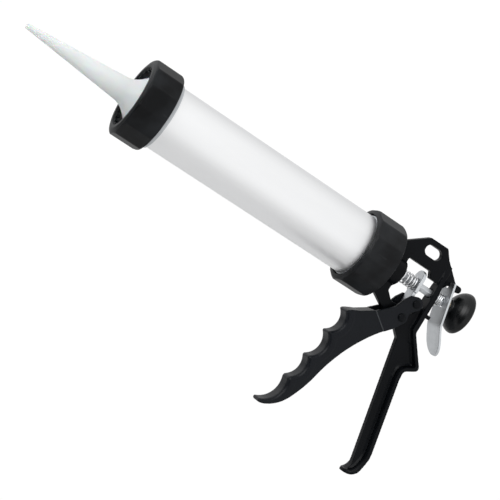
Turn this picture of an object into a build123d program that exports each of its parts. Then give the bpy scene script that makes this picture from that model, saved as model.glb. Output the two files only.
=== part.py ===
"""Caulking gun with an aluminium barrel. Millimetres, +Z up, nozzle towards -X.

The origin is the centre of the nozzle's outlet. The barrel's axis is the X axis, and Y = 0 is the
mid-plane of the frame, the trigger and the handle.
"""
import os
from math import asin, cos, radians, sin, tan

from build123d import *

# --- barrel and its two threaded rings
barrel_length = 227.0
barrel_bore = 50.0
barrel_wall = 1.5
ring_wall = 1.6
ring_reveal = 3.2  # how far the front ring shows behind the cap
thread_pitch = 4.0
thread_depth = 0.6
thread_gap = 0.2

# --- hand grips of the front cap and the rear collar
grip_sides = 12
grip_turn = 10.0  # degrees from the crest to the first corner
grip_wall = 3.96  # from the thread's bore to the flat
grip_lip = 2.6  # how far the rounded lip falls back from a corner
grip_lip_drop = 3.6  # from the corner in to the end face's edge
grip_lip_bend = (0.8, 1.2)  # the lip's middle point, in from the end and from the corner
cap_length = 26.0
collar_length = 29.0
cap_mouth_depth = 6.0
cap_mouth_rim = 1.8
cap_shoulder = 3.0
cap_shoulder_reach = 7.3  # from the thread's bore in to the nozzle's hole
cap_mouth_floor = 3.2  # flat ring round the nozzle's hole
collar_wall = 3.0

# --- nozzle
nozzle_reach = 93.0  # outlet to the cap's front face
nozzle_tip_radius = 2.0
nozzle_outlet_radius = 1.25
nozzle_outlet_length = 6.0
nozzle_cone_radius = 9.9
nozzle_cone_reach = 8.5  # the cone ends this far ahead of the cap
nozzle_wall = 1.5
nozzle_flange = 2.0
seal_thickness = 1.5
seal_width = 7.0
seat_gap = 0.1
nozzle_gap = 0.6
flange_gap = 2.0  # from the ring to the nozzle's flange, in radius

# --- frame: swivel disc, hub, web and rear wall
swivel_gap = 0.2
disc_thickness = 3.6
disc_inset = 0.3  # the disc is this much smaller than the barrel, in radius
neck_gap = 0.8
neck_inset = 5.7  # the disc stands this far out of its neck, in radius
hub_radius = 11.5
hub_length = 18.5
web_thickness = 6.5
wall_front = 52.5
wall_thickness = 4.4
wall_half_width = 7.8
wall_top = 27.6
flange_thickness = 3.2
flange_half_width = 11.0
toe_round = 10.4
toe_end = 66.0
stop_pin_radius = 1.8
stop_pin_length = 7.2
stop_pin_height = -17.5
slot_length = 17.0
slot_width = 9.4
slot_x = 34.9
slot_z = 29.5
lug_top = 17.5
lug_bottom = 12.6
lug_head_start = 66.2
lug_head_length = 7.6
lug_head_height = 5.9
lug_head_half_width = 5.0
lug_head_round = 2.7

# --- push rod, piston and knob
rod_flats = 6.4
rod_gap = 0.3
stud_radius = 3.0
stud_gap = 0.03
piston_length = 14.0
piston_gap = 0.6
piston_back = 1.0  # from the barrel's front end to the front washer
piston_web = 5.0
piston_skirt = 3.0
ring_groove_width = 3.2
ring_groove_depth = 2.2
washer_radius = 13.0
piston_boss_radius = 9.0
washer_thickness = 2.0
nut_flats = 10.0
nut_height = 5.0
knob_front = 72.0
knob_length = 18.2
knob_neck_radius = 6.4
knob_rim_radius = 18.7
knob_rim_thickness = 3.4
knob_dome = 2.0  # how far the back bulges behind the rim
knob_flare = [(2.0, 0.04), (4.4, 0.42), (9.0, 0.87)]  # distance from the front, share of the rim's reach
insert_radius = 4.6
insert_length = 12.0

# --- drive plate, release plate and their springs
drive_front = 35.7
drive_thickness = 3.0
drive_half_width = 8.0
drive_top = 12.8
drive_step = -6.5
drive_tail = -18.6
drive_tail_half_width = 6.5
plate_thickness = 2.0
plate_half_width = 12.0
plate_top = 17.3
plate_tilt = 13.3
plate_bend_z = -19.5
plate_tail_z = -41.8
plate_tail_tilt = 31.4
plate_bend_radius = 14.0
plate_pivot_x = 62.9
plate_pivot_z = 15.0
plate_hole_gap = 0.5
notch_gap = 0.5
spring_gap = 0.1
drive_wire = 1.3
drive_coil_radius = 5.5
drive_turns = 5
release_wire = 1.1
release_coil_radius = 5.3
release_turns = 3

# --- trigger and its pins
pivot_x = 36.9
pivot_z = -30.0
drive_pin_z = -14.4
pin_radius = 2.5
sleeve_wall = 0.9
pin_gap = 0.05
pin_head_radius = 3.4
pin_head_height = 1.9
grip_half_width = 9.0
cheek_half_width = 10.0
cheek_inside = 7.0
grip_inside = 6.0
boss_radius = 5.6
boss_gap = 0.2
ear_radius = 6.0
ear_reach = 5.4

# --- radii and stations that follow from the sizes above
tube_radius = barrel_bore / 2 + barrel_wall
ring_radius = tube_radius + ring_wall
thread_bore = ring_radius + thread_gap
grip_flat_radius = thread_bore + grip_wall
grip_corner_radius = grip_flat_radius / cos(radians(180 / grip_sides))
disc_radius = tube_radius - disc_inset
neck_radius = disc_radius - neck_inset
cap_hole_radius = thread_bore - cap_shoulder_reach
flange_radius = ring_radius - flange_gap

drive_pin_x = drive_front + drive_thickness + sleeve_wall + pin_radius + 2 * pin_gap

x_cap_front = nozzle_reach
x_mouth_end = x_cap_front + cap_mouth_depth
x_shoulder = x_mouth_end + cap_shoulder
x_nozzle_seat = x_shoulder + seat_gap
x_seal = x_nozzle_seat + nozzle_flange
x_tube_front = x_seal + seal_thickness + seat_gap
x_cap_rear = x_cap_front + cap_length
x_ring_end = x_cap_rear + ring_reveal
x_tube_rear = x_tube_front + barrel_length
x_disc = x_tube_rear + swivel_gap
x_collar_wall = x_disc + disc_thickness + swivel_gap
x_frame = x_collar_wall + collar_wall
x_collar_front = x_frame - collar_length

rod_corner = rod_flats / 2 / cos(radians(30))
rod_hole = rod_corner + rod_gap
x_washer = x_tube_front + piston_back
x_piston = x_washer + washer_thickness
x_piston_rear = x_piston + piston_length
wall_rear = wall_front + wall_thickness
web_half = web_thickness / 2

# --- outline points of the cast frame and the trigger, as (x, z) from the frame's front face
wall_middle = wall_front + wall_thickness / 2
spine = [
    (wall_middle, wall_top),
    (wall_middle, -33.6),
    (73.9, -59.2),
    (62.3, -65.5),
    (62.6, -73.5),
    (77.5, -142.4),
    (73.6, -161.9),
    (65.2, -160.8),
]
spine_radii = [2, 5, 6, 25, 9]
back_edge = [  # half the rear silhouette, as (y, z)
    (web_half, wall_top + 0.5),
    (wall_half_width, -4.0),
    (wall_half_width, -36.0),
    (flange_half_width, -60.0),
    (flange_half_width, -157.9),
    (flange_half_width - 3, -165.9),
]
web_foot = [(76.9, -147.0), (73.0, -157.5), (68.0, -160.2)]
web_front = [
    (70.8, -154.0),
    (46.6, -46.0),
    (40.4, -40.4),
    (33.0, -38.5),
    (18.7, -30.3),
    (6.8, -23.8),
    (-0.5, 0.7 - neck_radius),
]
arm_top = [(-0.5, neck_radius - 0.9), (26.4, 39.0), (44.6, 39.2), (51.0, 31.6), (67.4, 18.0)]
fin_under = [(67.4, 14.2), (61.5, 13.4), (57.5, 7.6), (wall_middle, 7.6)]
window = [
    (hub_length, 15.3),
    (41.6, 15.3),
    (44.2, 10.0),
    (wall_front, 10.0),
    (wall_front, -13.0),
    (46.5, -22.4),
    (24.2, -22.4),
    (hub_length - 1.1, -16.4),
]
horns = [(-9.2, -48.4), (-12.0, -71.2), (-15.5, -96.2), (-20.6, -118.8)]
hollows = [(-3.0, -60.4), (-6.0, -84.0), (-11.9, -106.8)]
toe_hollow = (-19.5, -133.6)
toe_front = (-30.4, -145.0)
toe_tip = (-32.0, -147.6)
back_top = (35.2, -42.2)
back_bend = (14.2, -69.6)
back_middle = (0.0, -104.3)
back_waist = (-3.6, -117.2)
back_low = (-8.4, -128.6)
back_toe = (-17.6, -141.7)
back_end = (-29.6, -148.4)
seam_top = (14.4, -36.6)
seam_bottom = (30.0, -47.6)
seam_bend = (3.8, -43.1)
channel = [(13.0, -41.0), (3.2, -59.6), (-0.4, -83.0), (-6.6, -106.0), (-12.2, -126.0), (0, -134), (60, -60), (60, -43)]
above_seam = [seam_bottom, seam_top, (10, -5), (60, -5), (60, -60), (34, -60)]
cheek_crest = [(19.6, -32.0), (27.6, -24.8), (31.0, -16.4), (35.0, -10.6)]


def side_face(points):
    """Flat face in the mid-plane from (x, z) points."""
    return make_face(Plane.XZ * Polyline(*points, close=True))


def drawn_face(lines):
    """Flat face in the mid-plane inside a closed run of lines and arcs."""
    return Plane.XZ * make_face([edge for line in lines for edge in line.edges()])


def slab(face, half_width):
    """Solid of a mid-plane face, as wide on one side as on the other."""
    return extrude(face, half_width, both=True)


def turned(profile):
    """Solid turned about the barrel's axis from (x, radius) points."""
    return revolve(side_face(profile), Axis.X)


def bar_x(radius, x0, x1):
    return Pos((x0 + x1) / 2, 0, 0) * Rot(0, 90, 0) * Cylinder(radius, x1 - x0)


def bar_y(radius, x, z, y0, y1):
    return Pos(x, (y0 + y1) / 2, z) * Rot(90, 0, 0) * Cylinder(radius, y1 - y0)


def prism_x(corner_radius, sides, turn, x0, x1):
    """Bar of regular section along X; turn is from the Y axis to the first corner."""
    section = Plane.YZ.offset(x0) * RegularPolygon(corner_radius, sides, rotation=turn)
    return extrude(section, x1 - x0)


def threads(x0, x1, radius, depth):
    """Shallow ring grooves from x0 to x1 that stand for a thread of this pitch."""
    count = int((x1 - x0) / thread_pitch)
    grooves = []
    for index in range(count):
        x = x0 + (index + 0.5) * thread_pitch
        half = thread_pitch / 4
        ends = (radius - depth, radius + depth)
        grooves.append(bar_x(max(ends), x - half, x + half) - bar_x(min(ends), x - half, x + half))
    return grooves


def grip(x0, length):
    """Many-sided hand grip with rounded lips."""
    x1 = x0 + length
    low = grip_corner_radius - grip_lip_drop
    bend, fall = grip_lip_bend
    sides = prism_x(grip_corner_radius, grip_sides, grip_turn, x0, x1)
    lips = turned([
        (x0, 0), (x0, low), (x0 + bend, grip_corner_radius - fall),
        (x0 + grip_lip, grip_corner_radius), (x1 - grip_lip, grip_corner_radius),
        (x1 - bend, grip_corner_radius - fall), (x1, low), (x1, 0),
    ])
    return sides & lips


# --- barrel group
def barrel_tube():
    return bar_x(tube_radius, x_tube_front, x_tube_rear) - bar_x(barrel_bore / 2, x_tube_front, x_tube_rear)


def front_thread_ring():
    ring = bar_x(ring_radius, x_tube_front, x_ring_end) - bar_x(tube_radius, x_tube_front, x_ring_end)
    return ring - threads(x_tube_front, x_cap_rear - 1, ring_radius, thread_depth)


def rear_thread_ring():
    x0 = x_collar_front + 2
    ring = bar_x(ring_radius, x0, x_tube_rear) - bar_x(tube_radius, x0, x_tube_rear)
    return ring - threads(x0 + 2, x_tube_rear, ring_radius, thread_depth)


def rear_collar():
    hollow = bar_x(thread_bore, x_collar_front - 1, x_collar_wall)
    return grip(x_collar_front, collar_length) - hollow - bar_x(neck_radius + neck_gap, x_collar_wall, x_frame + 1)


# --- nozzle group
def front_cap():
    mouth_radius = grip_corner_radius - grip_lip_drop - cap_mouth_rim
    mouth = turned([
        (x_cap_front - 1, 0), (x_cap_front - 1, mouth_radius), (x_cap_front, mouth_radius),
        (x_mouth_end, cap_hole_radius + cap_mouth_floor), (x_mouth_end, 0),
    ])
    hole = bar_x(cap_hole_radius, x_mouth_end - 1, x_shoulder + 1)
    return grip(x_cap_front, cap_length) - mouth - hole - bar_x(thread_bore, x_shoulder, x_cap_rear + 1)


def nozzle():
    x_cone = x_cap_front - nozzle_cone_reach
    neck = cap_hole_radius - nozzle_gap
    throat = neck - nozzle_wall
    return turned([
        (0, nozzle_outlet_radius), (0, nozzle_tip_radius), (x_cone, nozzle_cone_radius),
        (x_mouth_end, neck), (x_nozzle_seat, neck), (x_nozzle_seat, flange_radius), (x_seal, flange_radius),
        (x_seal, throat), (x_mouth_end, throat), (x_cone, nozzle_cone_radius - nozzle_wall),
        (nozzle_outlet_length, nozzle_outlet_radius),
    ])


def nozzle_seal():
    x1 = x_seal + seal_thickness
    return bar_x(flange_radius, x_seal, x1) - bar_x(flange_radius - seal_width, x_seal, x1)


# --- cast frame, drawn from its front face
def hanging_slot():
    outline = Pos(slot_x, slot_z) * SlotOverall(slot_length, slot_width)
    return slab(Plane.XZ * outline, web_thickness)


def rear_silhouette():
    """What the rear wall and the handle's flange fill, as seen from behind."""
    mirrored = [(-y, z) for y, z in reversed(back_edge)]
    face = make_face(Plane.YZ * Polyline(*(back_edge + mirrored), close=True))
    return extrude(face, 2 * wall_rear, both=True)


def frame_web():
    outline = arm_top + fin_under + spine[1:-2] + web_foot + web_front
    return slab(side_face(outline), web_half) - slab(side_face(window), web_thickness)


def upper_lug():
    """Head behind the fin that the release plate's notch straddles."""
    middle = Pos(lug_head_start + lug_head_length / 2, 0, (lug_top + lug_bottom) / 2)
    head = middle * Box(lug_head_length, 2 * lug_head_half_width, lug_head_height)
    return fillet(head.edges().filter_by(Axis.Y).sort_by(Axis.X)[2:], lug_head_round)


def toe_trim():
    """What is cut away to round the toe's two corners."""
    foot = spine[-1][1]
    reach = 2 * toe_round
    plan = Pos(toe_end + reach, 0) * RectangleRounded(2 * reach, 2 * flange_half_width, toe_round)
    block = Pos(toe_end, 0, foot) * Box(reach, 4 * flange_half_width, reach)
    return block - extrude(Plane.XY.offset(foot - reach) * plan, 2 * reach)


def frame():
    wall = Plane.XZ * trace(Line(spine[0], spine[1]), wall_thickness)
    flange = Plane.XZ * trace(FilletPolyline(*spine[1:], radius=spine_radii), flange_thickness)
    reach = flange_half_width + 1
    back = (slab(wall, reach) + slab(flange, reach)) & rear_silhouette()
    back -= toe_trim()
    disc = bar_x(disc_radius, x_disc - x_frame, x_disc - x_frame + disc_thickness)
    hub = bar_x(neck_radius, x_disc - x_frame, 0) + bar_x(hub_radius, -1, hub_length)
    half = cheek_inside - boss_gap
    boss = bar_y(boss_radius, pivot_x, pivot_z, -half, half)
    stop = bar_x(stop_pin_radius, wall_rear - 1, wall_rear + stop_pin_length)
    body = frame_web() + back + disc + hub + boss + Pos(0, 0, stop_pin_height) * stop + upper_lug()
    body -= hanging_slot()
    body -= bar_x(rod_hole, x_disc - x_frame - 1, wall_rear + 1)
    body -= bar_y(pin_radius + pin_gap, pivot_x, pivot_z, -half - 1, half + 1)
    return body


# --- trigger group
def trigger_outline():
    arcs = [ThreePointArc(horns[i], hollows[i], horns[i + 1]) for i in range(3)]
    front = arcs + [ThreePointArc(horns[3], toe_hollow, toe_front), ThreePointArc(toe_front, toe_tip, back_end)]
    back = [
        ThreePointArc(back_end, back_toe, back_low), ThreePointArc(back_low, back_waist, back_middle),
        ThreePointArc(back_middle, back_bend, back_top),
    ]
    top = [Polyline(back_top, cheek_crest[0], seam_top, seam_bend, horns[0])]
    return drawn_face(front + back + top)


def cheek_outline():
    """Ear that carries both pins, with its seam to the finger grip."""
    ear = Pos(drive_pin_x, drive_pin_z) * Circle(ear_radius)
    foot = Pos(pivot_x, pivot_z) * Circle(boss_radius)
    points = [seam_bottom, seam_top] + cheek_crest + [
        (drive_pin_x - 2.4, drive_pin_z + ear_reach), (drive_pin_x + 3, drive_pin_z - 5), (41.6, -24.0),
        (pivot_x + 5.2, pivot_z - 2), (38.6, -37.6), back_top,
    ]
    return Plane.XZ * (make_face(Polyline(*points, close=True)) + ear + foot)


def trigger_cavity():
    """Channel in the finger grip, open towards the handle."""
    return side_face(channel)


def trigger():
    fingers = slab(trigger_outline(), grip_half_width) - slab(trigger_cavity(), grip_inside)
    fingers -= slab(side_face(above_seam), cheek_half_width + 1)
    cheeks = slab(cheek_outline(), cheek_half_width) - slab(cheek_outline(), cheek_inside)
    body = fingers + cheeks
    for x, z in ((pivot_x, pivot_z), (drive_pin_x, drive_pin_z)):
        body -= bar_y(pin_radius + pin_gap, x, z, -cheek_half_width - 1, cheek_half_width + 1)
    return body


def rivet(x, z):
    """Pin across both cheeks with a low domed head at each end."""
    shank = bar_y(pin_radius, x, z, -cheek_half_width, cheek_half_width)
    head = Pos(x, cheek_half_width, z) * Rot(-90, 0, 0) * extrude(Circle(pin_head_radius), pin_head_height, taper=25)
    return shank + head + mirror(head, Plane.XZ)


def drive_pin_sleeve():
    half = cheek_inside - boss_gap
    outer = bar_y(pin_radius + pin_gap + sleeve_wall, drive_pin_x, drive_pin_z, -half, half)
    return outer - bar_y(pin_radius + pin_gap, drive_pin_x, drive_pin_z, -half, half)


# --- plates and springs
def drive_plate():
    x1 = drive_front + drive_thickness
    blank = extrude(Plane.YZ.offset(drive_front) * drive_face(), drive_thickness)
    return blank - bar_x(rod_hole, drive_front - 1, x1 + 1)


def drive_face():
    """Drive plate as seen along the rod: a round crown over a narrower tail."""
    crown_z = drive_top - drive_half_width
    crown = Pos(0, crown_z) * Circle(drive_half_width)
    middle = Pos(0, (crown_z + drive_step) / 2) * Rectangle(2 * drive_half_width, crown_z - drive_step)
    tail = Pos(0, (drive_tail + drive_step) / 2) * Rectangle(2 * drive_tail_half_width, drive_step - drive_tail)
    return crown + middle + tail


def release_plate():
    lean = tan(radians(plate_tilt))
    bend = (plate_pivot_x + lean * (plate_pivot_z - plate_bend_z), plate_bend_z)
    top = (plate_pivot_x - lean * (plate_top - plate_pivot_z), plate_top)
    end = (bend[0] + tan(radians(plate_tail_tilt)) * (plate_bend_z - plate_tail_z), plate_tail_z)
    strip = Plane.XZ * trace(FilletPolyline(top, bend, end, radius=plate_bend_radius), plate_thickness)
    round_tail = Pos(0, plate_tail_z + plate_half_width) * Circle(plate_half_width)
    middle = (plate_top + plate_tail_z + plate_half_width) / 2
    height = plate_top - plate_tail_z - plate_half_width
    blank = extrude(Plane.YZ * (Pos(0, middle) * Rectangle(2 * plate_half_width, height) + round_tail), 120)
    plate = slab(strip, plate_half_width) & blank
    notch_half = web_half + notch_gap
    notch_height = plate_top - lug_bottom + notch_gap + 1
    notch_z = lug_bottom - notch_gap + notch_height / 2
    plate -= Pos(plate_pivot_x, 0, notch_z) * Box(12, 2 * notch_half, notch_height)
    return plate - bar_x(rod_hole + plate_hole_gap, plate_pivot_x - 6, plate_pivot_x + 12)


def coil_spring(x0, x1, coil_radius, wire, turns):
    """Open coil spring round the rod, between two faces."""
    length = x1 - x0 - wire
    path = Helix(pitch=length / turns, height=length, radius=coil_radius)
    section = Plane(origin=path @ 0, z_dir=path % 0) * Circle(wire / 2)
    return Pos(x0 + wire / 2, 0, 0) * Rot(0, 90, 0) * sweep(section, path=path, is_frenet=True)


def drive_spring():
    return coil_spring(hub_length + spring_gap, drive_front - spring_gap, drive_coil_radius, drive_wire, drive_turns)


def release_spring():
    lean = tan(radians(plate_tilt))
    plate_x = plate_pivot_x + lean * (plate_pivot_z - release_coil_radius - release_wire) - plate_thickness / 2
    return coil_spring(wall_rear + spring_gap, plate_x - 2 * spring_gap, release_coil_radius, release_wire, release_turns)


# --- push rod group
def push_rod():
    x_end = x_frame + knob_front + insert_length
    hexagon = prism_x(rod_corner, 6, 0, x_piston_rear + washer_thickness, x_frame + knob_front)
    stud = bar_x(stud_radius, x_washer - nut_height - 1, x_end)
    return hexagon + stud


def on_stud(solid, x0, x1):
    return solid - bar_x(stud_radius + stud_gap, x0 - 1, x1 + 1)


def piston():
    """Moulded disc with a hollow back and a groove for its sealing ring."""
    radius = barrel_bore / 2 - piston_gap
    x_web = x_piston + piston_web
    groove_x = x_piston + 4
    body = bar_x(radius, x_piston, x_piston_rear)
    body -= bar_x(radius - piston_skirt - ring_groove_depth, x_web, x_piston_rear + 1)
    body += bar_x(piston_boss_radius, x_piston, x_piston_rear)
    groove = bar_x(radius + 1, groove_x, groove_x + ring_groove_width)
    body -= groove - bar_x(radius - ring_groove_depth, groove_x - 1, groove_x + ring_groove_width + 1)
    return on_stud(body, x_piston, x_piston_rear)


def piston_ring():
    radius = barrel_bore / 2 - piston_gap
    x0 = x_piston + 4.1
    x1 = x0 + ring_groove_width - 0.2
    outer = bar_x(radius + piston_gap / 2, x0, x1)
    return outer - bar_x(radius - ring_groove_depth + 0.05, x0, x1)


def piston_washer(x0):
    x1 = x0 + washer_thickness
    return on_stud(bar_x(washer_radius, x0, x1), x0, x1)


def piston_nut():
    x1 = x_washer
    corner = nut_flats / 2 / cos(radians(30))
    return on_stud(prism_x(corner, 6, 0, x1 - nut_height, x1), x1 - nut_height, x1)


def pull_knob():
    """Mushroom knob: a short neck, a flaring shoulder, a rounded rim and a domed back."""
    x0 = x_frame + knob_front
    x1 = x0 + knob_length
    x_back = x1 - knob_dome
    x_rim = x_back - knob_rim_thickness
    reach = knob_rim_radius - knob_neck_radius
    flare = [(x0 + x, knob_neck_radius + share * reach) for x, share in knob_flare]
    rim_end = knob_rim_radius - knob_rim_thickness / 3
    dome_radius = (rim_end ** 2 + knob_dome ** 2) / (2 * knob_dome)
    half_angle = asin(rim_end / dome_radius) / 2
    dome_middle = (x1 - dome_radius * (1 - cos(half_angle)), dome_radius * sin(half_angle))
    body = revolve(drawn_face([
        Polyline((x0, 0), (x0, knob_neck_radius), flare[0]),
        Spline(*flare, (x_rim, knob_rim_radius)),
        Polyline((x_rim, knob_rim_radius), (x_back - 1, knob_rim_radius), (x_back, rim_end)),
        ThreePointArc((x_back, rim_end), dome_middle, (x1, 0)),
        Line((x1, 0), (x0, 0)),
    ]), Axis.X)
    return body - bar_x(insert_radius, x0 - 1, x0 + insert_length + 0.1)


def knob_insert():
    x0 = x_frame + knob_front
    x1 = x0 + insert_length
    return on_stud(bar_x(insert_radius, x0, x1), x0, x1)


def from_frame(solid):
    """Move a piece drawn from the frame's front face to its place on the gun."""
    return Pos(x_frame, 0, 0) * solid


parts = {
    "nozzle": nozzle(),
    "nozzle_seal": nozzle_seal(),
    "front_cap": front_cap(),
    "front_thread_ring": front_thread_ring(),
    "barrel_tube": barrel_tube(),
    "rear_thread_ring": rear_thread_ring(),
    "rear_collar": rear_collar(),
    "frame": from_frame(frame()),
    "trigger": from_frame(trigger()),
    "trigger_pivot_pin": from_frame(rivet(pivot_x, pivot_z)),
    "drive_pin": from_frame(rivet(drive_pin_x, drive_pin_z)),
    "drive_pin_sleeve": from_frame(drive_pin_sleeve()),
    "drive_plate": from_frame(drive_plate()),
    "drive_spring": from_frame(drive_spring()),
    "release_plate": from_frame(release_plate()),
    "release_spring": from_frame(release_spring()),
    "push_rod": push_rod(),
    "piston": piston(),
    "piston_ring": piston_ring(),
    "piston_front_washer": piston_washer(x_washer),
    "piston_rear_washer": piston_washer(x_piston_rear),
    "piston_nut": piston_nut(),
    "pull_knob": pull_knob(),
    "knob_insert": knob_insert(),
}

os.makedirs("parts", exist_ok=True)
for name, solid in parts.items():
    export_step(solid, f"parts/{name}.step")
    print(f"{name:22s} {solid.volume:10.1f} mm3  solids {len(solid.solids())}")
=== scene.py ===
from math import atan2, cos, exp, hypot, pi, radians, sin, sqrt, tan

import bmesh
import bpy
from mathutils import Matrix, Vector


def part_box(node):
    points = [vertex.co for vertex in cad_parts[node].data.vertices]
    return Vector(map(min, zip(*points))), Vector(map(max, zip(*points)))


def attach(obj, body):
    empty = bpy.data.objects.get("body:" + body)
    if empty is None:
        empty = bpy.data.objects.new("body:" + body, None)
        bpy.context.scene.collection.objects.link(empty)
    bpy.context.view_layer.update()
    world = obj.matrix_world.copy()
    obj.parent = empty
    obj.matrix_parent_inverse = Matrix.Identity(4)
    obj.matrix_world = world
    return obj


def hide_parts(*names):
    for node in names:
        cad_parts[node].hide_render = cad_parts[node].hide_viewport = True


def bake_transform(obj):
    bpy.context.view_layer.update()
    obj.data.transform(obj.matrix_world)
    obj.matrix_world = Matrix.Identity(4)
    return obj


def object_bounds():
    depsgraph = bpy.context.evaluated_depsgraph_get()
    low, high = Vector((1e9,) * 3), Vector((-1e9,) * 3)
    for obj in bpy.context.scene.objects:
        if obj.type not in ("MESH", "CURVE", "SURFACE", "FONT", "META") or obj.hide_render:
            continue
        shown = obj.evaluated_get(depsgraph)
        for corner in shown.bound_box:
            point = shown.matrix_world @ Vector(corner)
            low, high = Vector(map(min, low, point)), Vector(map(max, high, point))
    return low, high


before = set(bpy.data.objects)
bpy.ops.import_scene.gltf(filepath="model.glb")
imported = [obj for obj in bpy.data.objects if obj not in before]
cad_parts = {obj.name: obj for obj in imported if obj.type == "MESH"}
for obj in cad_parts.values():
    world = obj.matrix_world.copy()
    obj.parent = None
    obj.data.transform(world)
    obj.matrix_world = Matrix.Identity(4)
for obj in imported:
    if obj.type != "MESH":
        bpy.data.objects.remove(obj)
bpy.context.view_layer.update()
mm = 0.001


# Maths on sockets is written with Python operators.
class Wire:
    def __init__(self, bench, socket):
        self.bench = bench
        self.socket = socket

    def maths(self, operation, *others):
        return self.bench.maths(operation, self, *others)

    def __add__(self, other):
        return self.maths("ADD", other)

    def __radd__(self, other):
        return self.maths("ADD", other)

    def __sub__(self, other):
        return self.maths("SUBTRACT", other)

    def __rsub__(self, other):
        return self.bench.maths("SUBTRACT", other, self)

    def __mul__(self, other):
        return self.maths("MULTIPLY", other)

    def __rmul__(self, other):
        return self.maths("MULTIPLY", other)

    def __truediv__(self, other):
        return self.maths("DIVIDE", other)

    def __rtruediv__(self, other):
        return self.bench.maths("DIVIDE", other, self)

    def __pow__(self, other):
        return self.maths("POWER", other)

    def clamped(self):
        return self.bench.node("ShaderNodeClamp", {}, {"Value": self})["Result"]


class Bench:
    def __init__(self, tree):
        self.tree = tree

    def node(self, kind, settings=None, sockets=None):
        made = self.tree.nodes.new(kind)
        for key, value in (settings or {}).items():
            if key == "stops":
                ramp = made.color_ramp
                while len(ramp.elements) < len(value):
                    ramp.elements.new(0.5)
                for element, (place, shade) in zip(ramp.elements, value):
                    element.position = place
                    element.color = shade if len(shade) == 4 else (*shade, 1)
            else:
                setattr(made, key, value)
        for key, value in (sockets or {}).items():
            if isinstance(key, int):
                socket = made.inputs[key]
            else:
                socket = next(s for s in made.inputs if s.enabled and key in (s.name, s.identifier))
            if isinstance(value, Wire):
                self.tree.links.new(value.socket, socket)
            else:
                socket.default_value = value
        return {s.name: Wire(self, s) for s in reversed(list(made.outputs)) if s.enabled}

    def maths(self, operation, *values):
        return self.node("ShaderNodeMath", {"operation": operation}, dict(enumerate(values)))["Value"]

    def blend(self, amount, low, high):
        colours = {"Factor": amount, "A": low, "B": high}
        return self.node("ShaderNodeMix", {"data_type": "RGBA"}, colours)["Result"]

    def split(self, vector):
        return self.node("ShaderNodeSeparateXYZ", {}, {"Vector": vector})

    def vector(self, **parts):
        return self.node("ShaderNodeCombineXYZ", {}, parts)["Vector"]


def newMaterial(name, constants, recipe):
    # recipe gets the bench and the object coordinates, and returns the surface's varying inputs
    material = bpy.data.materials.new(name)
    material.use_nodes = True
    tree = material.node_tree
    tree.nodes.clear()
    bench = Bench(tree)
    place = bench.node("ShaderNodeTexCoord")["Object"]
    varying = recipe(bench, place)
    height = varying.pop("height", None)
    if height:
        relief, distance, strength = height
        varying["Normal"] = bench.node(
            "ShaderNodeBump", {}, {"Strength": strength, "Distance": distance, "Height": relief})["Normal"]
    shader = bench.node("ShaderNodeBsdfPrincipled", {}, {**constants, **varying})["BSDF"]
    bench.node("ShaderNodeOutputMaterial", {}, {"Surface": shader})
    return material


def grain(bench, place, scale, detail=3.0, roughness=0.55, stretch=(1, 1, 1)):
    if stretch != (1, 1, 1):
        place = bench.node("ShaderNodeMapping", {}, {"Vector": place, "Scale": stretch})["Vector"]
    return bench.node("ShaderNodeTexNoise", {}, {
        "Vector": place, "Scale": scale, "Detail": detail, "Roughness": roughness})["Fac"]


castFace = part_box("rear_collar")[1].x / mm  # front face of the casting's arms


# Finishes: one recipe for each material.
def castPaint(bench, place, lift=1.0):
    coat = {"peel": 900, "fleck": 5200, "cloud": 28,
            "dark": (0.0018 * lift, 0.0022 * lift, 0.0030 * lift, 1),
            "light": (0.0060 * lift, 0.0072 * lift, 0.0094 * lift, 1), "wornAndHighlitEdge": (0.045, 0.048, 0.054, 1)}
    cloud = grain(bench, place, coat["cloud"])
    peel = grain(bench, place, coat["peel"], 2)
    fleck = grain(bench, place, coat["fleck"], 1)
    edge = ((bench.node("ShaderNodeNewGeometry")["Pointiness"] - 0.56) * 9).clamped()
    tone = bench.blend((cloud * 0.7 + fleck * 0.4 - 0.05).clamped(), coat["dark"], coat["light"])
    # pointy edges are blended to a lighter colour: partly edge wear, partly a painted highlight along the
    # rounded edges
    wornAndHighlitEdge = bench.blend((edge * (cloud * 1.5 - 0.25)).clamped() * 0.5, tone, coat["wornAndHighlitEdge"])
    return {"Base Color": wornAndHighlitEdge, "Roughness": 0.24 + cloud * 0.12 + fleck * 0.08 - edge * 0.05,
            "height": (peel * 0.7 + fleck * 0.3, 0.06 * mm, 0.35)}


def frameCoat(bench, place):
    # a darker copy of the casting paint: painted shade on the frame
    return castPaint(bench, place, 0.7)


def triggerCoat(bench, place):
    # the step where the ears meet the finger grip gets a lighter stripe: a painted highlight
    # a lighter copy of the same casting paint: painted light on the trigger
    coat = castPaint(bench, place, 1.35)
    line = {"foot": (30.0, -47.6), "top": (14.4, -36.6), "width": 0.55 * mm,
            "seamHighlight": (0.085, 0.09, 0.096, 1)}
    (x0, z0), (x1, z1) = line["foot"], line["top"]
    slope = (z1 - z0) / (x1 - x0)
    steep = hypot(1, slope)
    parts = bench.split(place)
    start = (z0 - slope * (x0 + castFace)) * mm
    away = ((parts["Z"] - parts["X"] * slope - start) / steep).maths("ABSOLUTE")
    # painted highlight line along the seam
    seamHighlightMask = (1 - away / line["width"]).clamped() * 0.8
    coat["Base Color"] = bench.blend(seamHighlightMask, coat["Base Color"], line["seamHighlight"])
    return coat


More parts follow.
